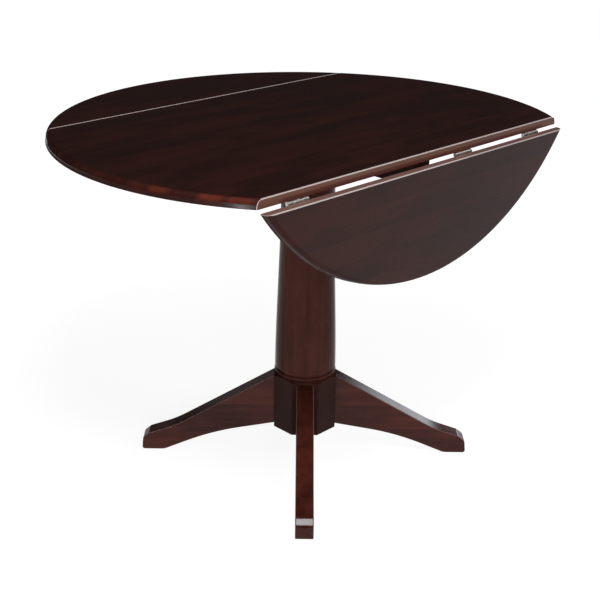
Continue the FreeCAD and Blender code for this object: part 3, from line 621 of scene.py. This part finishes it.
def cross_head_screw_tree():
    """Countersunk wood screw with a cross recess, along +Z from its head's face."""
    tree, sizes = new_tree("CrossHeadScrews", ("Head Radius", "Shank Radius", "Length", "Tip Length"))
    head = sizes["Head Radius"]
    shank = sizes["Shank Radius"]
    length = sizes["Length"]
    head_height = add(tree, "ShaderNodeMath", {0: head, 1: shank}, operation="SUBTRACT")
    shank_end = add(tree, "ShaderNodeMath", {0: length, 1: sizes["Tip Length"]}, operation="SUBTRACT")
    tip = add(tree, "ShaderNodeMath", {0: shank, 1: TIP_SHARE}, operation="MULTIPLY")

    # Four points along the axis, each with its height and radius
    index = add(tree, "GeometryNodeInputIndex")
    profile = []
    for steps in ((None, head_height, shank_end, length), (head, shank, shank, tip)):
        switch = add(tree, "GeometryNodeIndexSwitch", {"Index": index}, data_type="FLOAT")
        # A new switch has two items.
        for _ in range(len(steps) - 2):
            switch.index_switch_items.new()
        for place, step in enumerate(steps, start=1):
            if step is not None:
                tree.links.new(first_output(step), switch.inputs[place])
        profile.append(switch)
    line = add(tree, "GeometryNodeMeshLine", {"Count": 4})
    height = add(tree, "ShaderNodeCombineXYZ", {2: profile[0]})
    axis = add(tree, "GeometryNodeSetPosition", {"Geometry": line, "Position": height})
    curve = add(tree, "GeometryNodeMeshToCurve", {0: axis})
    ring = add(tree, "GeometryNodeCurvePrimitiveCircle", {"Resolution": SCREW_SIDES, "Radius": 1.0})
    body = add(tree, "GeometryNodeCurveToMesh",
               {"Curve": curve, "Profile Curve": ring, "Scale": profile[1], "Fill Caps": True})

    # The recess is cut by two crossed slots, sized by the head's radius.
    sides = [add(tree, "ShaderNodeMath", {0: head, 1: share}, operation="MULTIPLY") for share in RECESS]
    long_side, narrow_side, deep_side = sides
    for slot_x, slot_y in ((long_side, narrow_side), (narrow_side, long_side)):
        size = add(tree, "ShaderNodeCombineXYZ", {0: slot_x, 1: slot_y, 2: deep_side})
        slot = add(tree, "GeometryNodeMeshCube", {"Size": size})
        body = add(tree, "GeometryNodeMeshBoolean", {"Mesh 1": body, "Mesh 2": slot}, operation="DIFFERENCE",
                   solver="EXACT")
    place_on_points(tree, sizes, body)
    return tree


def threaded_rod_tree():
    """Threaded rod along +Z; its thread is drawn as rings."""
    tree, sizes = new_tree("ThreadedRods", ("Radius", "Thread Depth", "Pitch", "Length"))
    half_pitch = add(tree, "ShaderNodeMath", {0: sizes["Pitch"], 1: 0.5}, operation="MULTIPLY")
    steps = add(tree, "ShaderNodeMath", {0: sizes["Length"], 1: half_pitch}, operation="DIVIDE")
    whole_steps = add(tree, "ShaderNodeMath", {0: steps}, operation="ROUND")
    points = add(tree, "ShaderNodeMath", {0: whole_steps, 1: 1.0}, operation="ADD")
    step_length = add(tree, "ShaderNodeMath", {0: sizes["Length"], 1: whole_steps}, operation="DIVIDE")
    offset = add(tree, "ShaderNodeCombineXYZ", {2: step_length})
    line = add(tree, "GeometryNodeMeshLine", {"Count": points, "Offset": offset})
    curve = add(tree, "GeometryNodeMeshToCurve", {0: line})

    # Every other point is a groove, from the first.
    index = add(tree, "GeometryNodeInputIndex")
    odd = add(tree, "ShaderNodeMath", {0: index, 1: 2.0}, operation="MODULO")
    even = add(tree, "ShaderNodeMath", {0: 1.0, 1: odd}, operation="SUBTRACT")
    minus_depth = add(tree, "ShaderNodeMath", {0: sizes["Thread Depth"], 1: -1.0}, operation="MULTIPLY")
    radius = add(tree, "ShaderNodeMath", {0: even, 1: minus_depth, 2: sizes["Radius"]},
                 operation="MULTIPLY_ADD")
    ring = add(tree, "GeometryNodeCurvePrimitiveCircle", {"Resolution": BOLT_SIDES, "Radius": 1.0})
    rod = add(tree, "GeometryNodeCurveToMesh",
              {"Curve": curve, "Profile Curve": ring, "Scale": radius, "Fill Caps": True})
    place_on_points(tree, sizes, rod)
    return tree


def fasteners_from_points(node, body, tree, sizes, material, places):
    """Plain mesh of one tree on a list of (place, facing); it stands for one node."""
    mesh = bpy.data.meshes.new(node + "_points")
    mesh.from_pydata([place for place, _ in places], [], [])
    facing = mesh.attributes.new("facing", "FLOAT_VECTOR", "POINT")
    for entry, (_, way) in zip(facing.data, places):
        entry.vector = way
    piece = bpy.data.objects.new(node + "_detailed", mesh)
    bpy.context.scene.collection.objects.link(piece)
    modifier = piece.modifiers.new("fasteners", "NODES")
    modifier.node_group = tree
    values = dict(sizes, Material=material)
    for socket in tree.interface.items_tree:
        if socket.in_out == "INPUT" and socket.name in values:
            modifier[socket.identifier] = values[socket.name]
    graph = bpy.context.evaluated_depsgraph_get()
    solid = bpy.data.meshes.new_from_object(piece.evaluated_get(graph))
    if not solid.polygons:
        raise RuntimeError("no mesh for " + node)
    solid.name = node + "_detailed"
    piece.modifiers.remove(modifier)
    piece.data = solid
    bpy.data.meshes.remove(mesh)
    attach(piece, body)
    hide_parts(node)
    return piece


def hinge_screw_places(side, plate):
    """Three screws in each plate: two near its ends and one in the middle, further from the knuckles."""
    hanging = side == "right" and plate == "leaf_plate"
    wood_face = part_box("right_leaf")[0][0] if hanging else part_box("centre_panel")[0][2]
    face = wood_face - PLATE_THICKNESS
    places = []
    for number in HINGES:
        low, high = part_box("%s_hinge_%d_%s" % (side, number, plate))
        if hanging:
            edge, inward = low[2], 1
        elif (side == "right") == (plate == "panel_plate"):
            edge, inward = low[0], 1
        else:
            edge, inward = high[0], -1
        far = edge + inward * PLATE_SCREW_EDGE
        near = far + inward * PLATE_SCREW_STAGGER
        middle = (low[1] + high[1]) / 2
        end = (high[1] - low[1]) / 2 - PLATE_SCREW_EDGE
        for across, along in ((near, middle - end), (far, middle), (near, middle + end)):
            if hanging:
                places.append(((face, along, across), OUT))
            else:
                places.append(((across, along, face), UP))
    return places


def keeper_screw_places(side):
    """Four screws in a keeper block."""
    low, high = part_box(side + "_keeper")
    places = []
    for y in (low[1] + KEEPER_SIDE_INSET, high[1] - KEEPER_SIDE_INSET):
        if side == "right":
            for z in (low[2] + KEEPER_END_INSET, high[2] - KEEPER_END_INSET):
                places.append(((low[0], y, z), OUT))
        else:
            for x in (low[0] + KEEPER_END_INSET, high[0] - KEEPER_END_INSET):
                places.append(((x, y, low[2]), UP))
    return places


def frame_screw_places(head_radius):
    """Screws of the under frame, for each node, with their length."""
    long_low, long_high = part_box("long_bearer")
    cross_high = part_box("cross_bearer")[1]
    plate_low, plate_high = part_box("mounting_plate")
    seat = long_low[2] + BEARER_SCREW_SEAT
    bearer = []
    for sign in (-1, 1):
        for step in (0, BEARER_SCREW_STEP):
            bearer.append(((sign * (long_high[0] - LONG_BEARER_INSET - step), 0, seat), UP))
            bearer.append(((0, sign * (cross_high[1] - CROSS_BEARER_INSET - step), seat), UP))
    reach = plate_high[0] - MOUNTING_PLATE_INSET
    plate = [((x * reach, y * reach, plate_low[2]), UP) for x, y in ((1, 0), (-1, 0), (0, 1), (0, -1))]
    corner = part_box("plate_column_screws")[1][0] - head_radius
    column = [((x * corner, y * corner, plate_high[2]), DOWN) for x in (-1, 1) for y in (-1, 1)]
    return (("bearer_screws", bearer, BEARER_SCREW_LENGTH),
            ("plate_bearer_screws", plate, PLATE_SCREW_LENGTH),
            ("plate_column_screws", column, COLUMN_SCREW_LENGTH))


def hanger_bolt_places():
    """Two bolts for each leg, along the four diagonals."""
    low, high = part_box("leg_hanger_bolts")
    places = []
    for quarter in range(4):
        angle = math.radians(45 + 90 * quarter)
        way = (math.cos(angle), math.sin(angle), 0)
        for height in (low[2] + BOLT_RADIUS, high[2] - BOLT_RADIUS):
            places.append(((way[0] * BOLT_START, way[1] * BOLT_START, height), way))
    return places


class TABLE_OT_fasteners(Operator):
    """Makes the screws and leg bolts, and plates nuts, washers and stay bolts"""
    bl_idname = "table.fasteners"
    bl_label = "Fasteners"

    def execute(self, context):
        hardware = context.scene.table_hardware
        steel = plated_steel("zinc_plated_fastener_steel", hardware.plating, "Z")
        plain = ["leg_washers", "leg_nuts", "stay_washers"]
        for name in nodes_ending("_bolt") + nodes_ending("_nut") + plain:
            finish_node(name, steel)
        screws = cross_head_screw_tree()
        small = {"Head Radius": hardware.screw_head, "Shank Radius": hardware.screw_shank,
                 "Tip Length": SCREW_TIP}
        for side in ("right", "left"):
            for plate, body in (("panel", "table"), ("leaf", side + "_leaf")):
                places = hinge_screw_places(side, plate + "_plate")
                fasteners_from_points("%s_hinge_%s_screws" % (side, plate), body, screws,
                                      dict(small, Length=HINGE_SCREW_LENGTH), steel, places)
            low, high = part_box(side + "_keeper")
            thickness = high[0] - low[0] if side == "right" else high[2] - low[2]
            keeper = dict(small, Length=thickness + KEEPER_SCREW_BITE)
            fasteners_from_points(side + "_keeper_screws", side + "_leaf", screws, keeper, steel,
                                  keeper_screw_places(side))
        large = {"Head Radius": hardware.frame_screw_head, "Shank Radius": hardware.frame_screw_shank,
                 "Tip Length": SCREW_TIP}
        for node, places, length in frame_screw_places(hardware.frame_screw_head):
            fasteners_from_points(node, "table", screws, dict(large, Length=length), steel, places)
        rod = {"Radius": BOLT_RADIUS, "Thread Depth": THREAD_DEPTH, "Pitch": hardware.bolt_pitch,
               "Length": BOLT_LENGTH}
        fasteners_from_points("leg_hanger_bolts", "table", threaded_rod_tree(), rod, steel,
                              hanger_bolt_places())
        return {"FINISHED"}


class TABLE_OT_glides(Operator):
    """Finishes the glides under the feet"""
    bl_idname = "table.glides"
    bl_label = "Glides"

    def execute(self, context):
        plastic = moulded_plastic("moulded_polyethylene", context.scene.table_hardware.glide_colour)
        finish_node("foot_glides", plastic)
        return {"FINISHED"}


# White floor, painted matt: white to the eye and in reflections, a pale matt surface to every other ray.
# Near the table its glow is weaker, so that the table's shadow shows.
def pale_floor(studio):
    material, tree = new_material("painted_white_floor")
    path = add(tree, "ShaderNodeLightPath").outputs
    seen = path["Is Camera Ray"]
    for ray in ("Is Glossy Ray", "Is Transmission Ray"):
        seen = add(tree, "ShaderNodeMath", {0: seen, 1: path[ray]}, operation="MAXIMUM")
    matt = add(tree, "ShaderNodeBsdfDiffuse", {"Color": rgba(studio.floor_colour)})
    shade = add(tree, "ShaderNodeBsdfDiffuse", {"Color": rgba(studio.floor_shade)})
    place = add(tree, "ShaderNodeTexCoord")
    away = add(tree, "ShaderNodeVectorMath", {0: place.outputs["Object"]}, operation="LENGTH")
    level = add(tree, "ShaderNodeMapRange", {0: away, 1: GLOW_START, 2: GLOW_FULL, 3: GLOW_NEAR, 4: 1.0},
                **SMOOTH)
    glow = add(tree, "ShaderNodeEmission", {"Color": (1, 1, 1, 1), "Strength": level})
    white = add(tree, "ShaderNodeAddShader", {0: shade, 1: glow})
    mix = add(tree, "ShaderNodeMixShader", {0: seen, 1: matt, 2: white})
    add(tree, "ShaderNodeOutputMaterial", {0: mix})
    return material


def lay_floor(scene, studio):
    mesh = bpy.data.meshes.new("floor")
    ring = []
    for index in range(studio.floor_sides):
        angle = 2 * math.pi * index / studio.floor_sides
        ring.append((studio.floor_radius * math.cos(angle), studio.floor_radius * math.sin(angle), 0))
    mesh.from_pydata(ring, [], [list(range(studio.floor_sides))])
    mesh.materials.append(pale_floor(studio))
    floor = bpy.data.objects.new("floor", mesh)
    scene.collection.objects.link(floor)


def direction(azimuth, elevation):
    """Way from the table to a place round it, by angles in radians; azimuth 0 is on -Y."""
    flat = math.cos(elevation)
    return Vector((math.sin(azimuth) * flat, -math.cos(azimuth) * flat, math.sin(elevation)))


def softbox(name, power, size, azimuth, elevation, distance, aim):
    """Area lamp that faces its aim and is hidden from the camera; its angles are in degrees."""
    lamp = bpy.data.lights.new(name, "AREA")
    lamp.energy = power
    lamp.shape = "RECTANGLE"
    lamp.size, lamp.size_y = size
    holder = bpy.data.objects.new(name, lamp)
    holder.visible_camera = False
    bpy.context.scene.collection.objects.link(holder)
    way = direction(math.radians(azimuth), math.radians(elevation))
    holder.location = Vector(aim) + way * distance
    holder.rotation_euler = way.to_track_quat("Z", "Y").to_euler()
    return holder


def place_lamps(studio):
    front = softbox("front_softbox", studio.front_power, size=(1.6, 1.2), azimuth=54, elevation=16,
                    distance=4.0, aim=(0, 0, 0.45))
    # From behind, the top would mirror the whole front softbox.
    front.visible_glossy = False
    softbox("side_strip", studio.strip_power, size=(0.35, 1.2), azimuth=19, elevation=4,
            distance=4.0, aim=(0, 0, 0.65))
    softbox("high_front_softbox", studio.high_power, size=(0.5, 0.5), azimuth=45, elevation=65,
            distance=2.8, aim=(0.25, -0.25, 0.05))
    softbox("side_softbox", studio.side_power, size=(0.5, 0.5), azimuth=108, elevation=37,
            distance=3.2, aim=(0, 0, 0.15))
    softbox("left_back_softbox", studio.left_back_power, size=(1.2, 0.45), azimuth=240, elevation=11.6,
            distance=1.8, aim=(0, 0, 0.15))
    back = softbox("back_softbox", studio.back_power, size=(2.4, 0.65), azimuth=180, elevation=5.5,
                   distance=3.6, aim=(0, 0, 0.2))
    back.data.color = studio.back_tint
    softbox("high_back_softbox", studio.high_back_power, size=(1.2, 0.6), azimuth=162, elevation=44,
            distance=3.0, aim=(0, 0, 0.7))


def dim_walls():
    """Dim studio walls; the eye sees white past the floor's edge."""
    world = bpy.data.worlds.new("studio_walls")
    world.use_nodes = True
    tree = world.node_tree
    tree.nodes.clear()
    path = add(tree, "ShaderNodeLightPath").outputs
    walls = add(tree, "ShaderNodeBackground", {"Color": (1, 1, 1, 1), "Strength": WALL_LIGHT})
    white = add(tree, "ShaderNodeBackground", {"Color": (1, 1, 1, 1), "Strength": 1.0})
    mix = add(tree, "ShaderNodeMixShader", {0: path["Is Camera Ray"], 1: walls, 2: white})
    add(tree, "ShaderNodeOutputWorld", {0: mix})
    return world


def camera_frame(studio):
    """Camera matrix from its angles, roll, distance and aim."""
    back = direction(studio.azimuth, studio.elevation)
    right = Vector((math.cos(studio.azimuth), math.sin(studio.azimuth), 0))
    up = back.cross(right)
    aim = Vector((0, 0, studio.aim_height)) + right * studio.aim_side
    turned_right = right * math.cos(studio.roll) + up * math.sin(studio.roll)
    turned_up = up * math.cos(studio.roll) - right * math.sin(studio.roll)
    matrix = Matrix((turned_right, turned_up, back)).transposed().to_4x4()
    matrix.translation = aim + back * studio.distance
    return matrix


def place_camera(scene, studio):
    lens = bpy.data.cameras.new("camera")
    lens.sensor_fit = "HORIZONTAL"
    lens.sensor_width = SENSOR_WIDTH
    lens.lens = studio.lens
    lens.clip_end = FAR_CLIP
    camera = bpy.data.objects.new("camera", lens)
    camera.matrix_world = camera_frame(studio)
    scene.collection.objects.link(camera)
    scene.camera = camera


class TABLE_OT_stage(Operator):
    """Sets the floor, the lights, the world and the camera"""
    bl_idname = "table.stage"
    bl_label = "Stage"

    def execute(self, context):
        scene = context.scene
        studio = scene.table_studio
        lay_floor(scene, studio)
        place_lamps(studio)
        scene.world = dim_walls()
        place_camera(scene, studio)
        scene.view_settings.view_transform = "Standard"
        return {"FINISHED"}


STEPS = (TABLE_OT_top, TABLE_OT_pedestal, TABLE_OT_under_frame, TABLE_OT_hinges, TABLE_OT_fasteners,
         TABLE_OT_glides, TABLE_OT_stage)


class TABLE_PT_sidebar(Panel):
    """Lists the table's steps and settings"""
    bl_idname = "TABLE_PT_sidebar"
    bl_label = "Table"
    bl_space_type = "VIEW_3D"
    bl_region_type = "UI"
    bl_category = "Table"

    def draw(self, context):
        for group in ("table_wood", "table_hardware", "table_studio"):
            settings = getattr(context.scene, group)
            box = self.layout.box()
            for name in settings.__annotations__:
                box.prop(settings, name)
        for step in STEPS:
            self.layout.operator(step.bl_idname)


CLASSES = (WoodFinish, Hardware, Studio) + STEPS + (TABLE_PT_sidebar,)


def register():
    for entry in CLASSES:
        bpy.utils.register_class(entry)
    bpy.types.Scene.table_wood = PointerProperty(type=WoodFinish)
    bpy.types.Scene.table_hardware = PointerProperty(type=Hardware)
    bpy.types.Scene.table_studio = PointerProperty(type=Studio)


def unregister():
    del bpy.types.Scene.table_studio
    del bpy.types.Scene.table_hardware
    del bpy.types.Scene.table_wood
    for entry in reversed(CLASSES):
        bpy.utils.unregister_class(entry)


def main():
    register()
    bpy.ops.table.top()
    bpy.ops.table.pedestal()
    bpy.ops.table.under_frame()
    bpy.ops.table.hinges()
    bpy.ops.table.fasteners()
    bpy.ops.table.glides()
    bpy.ops.table.stage()


if __name__ == "__main__":
    main()
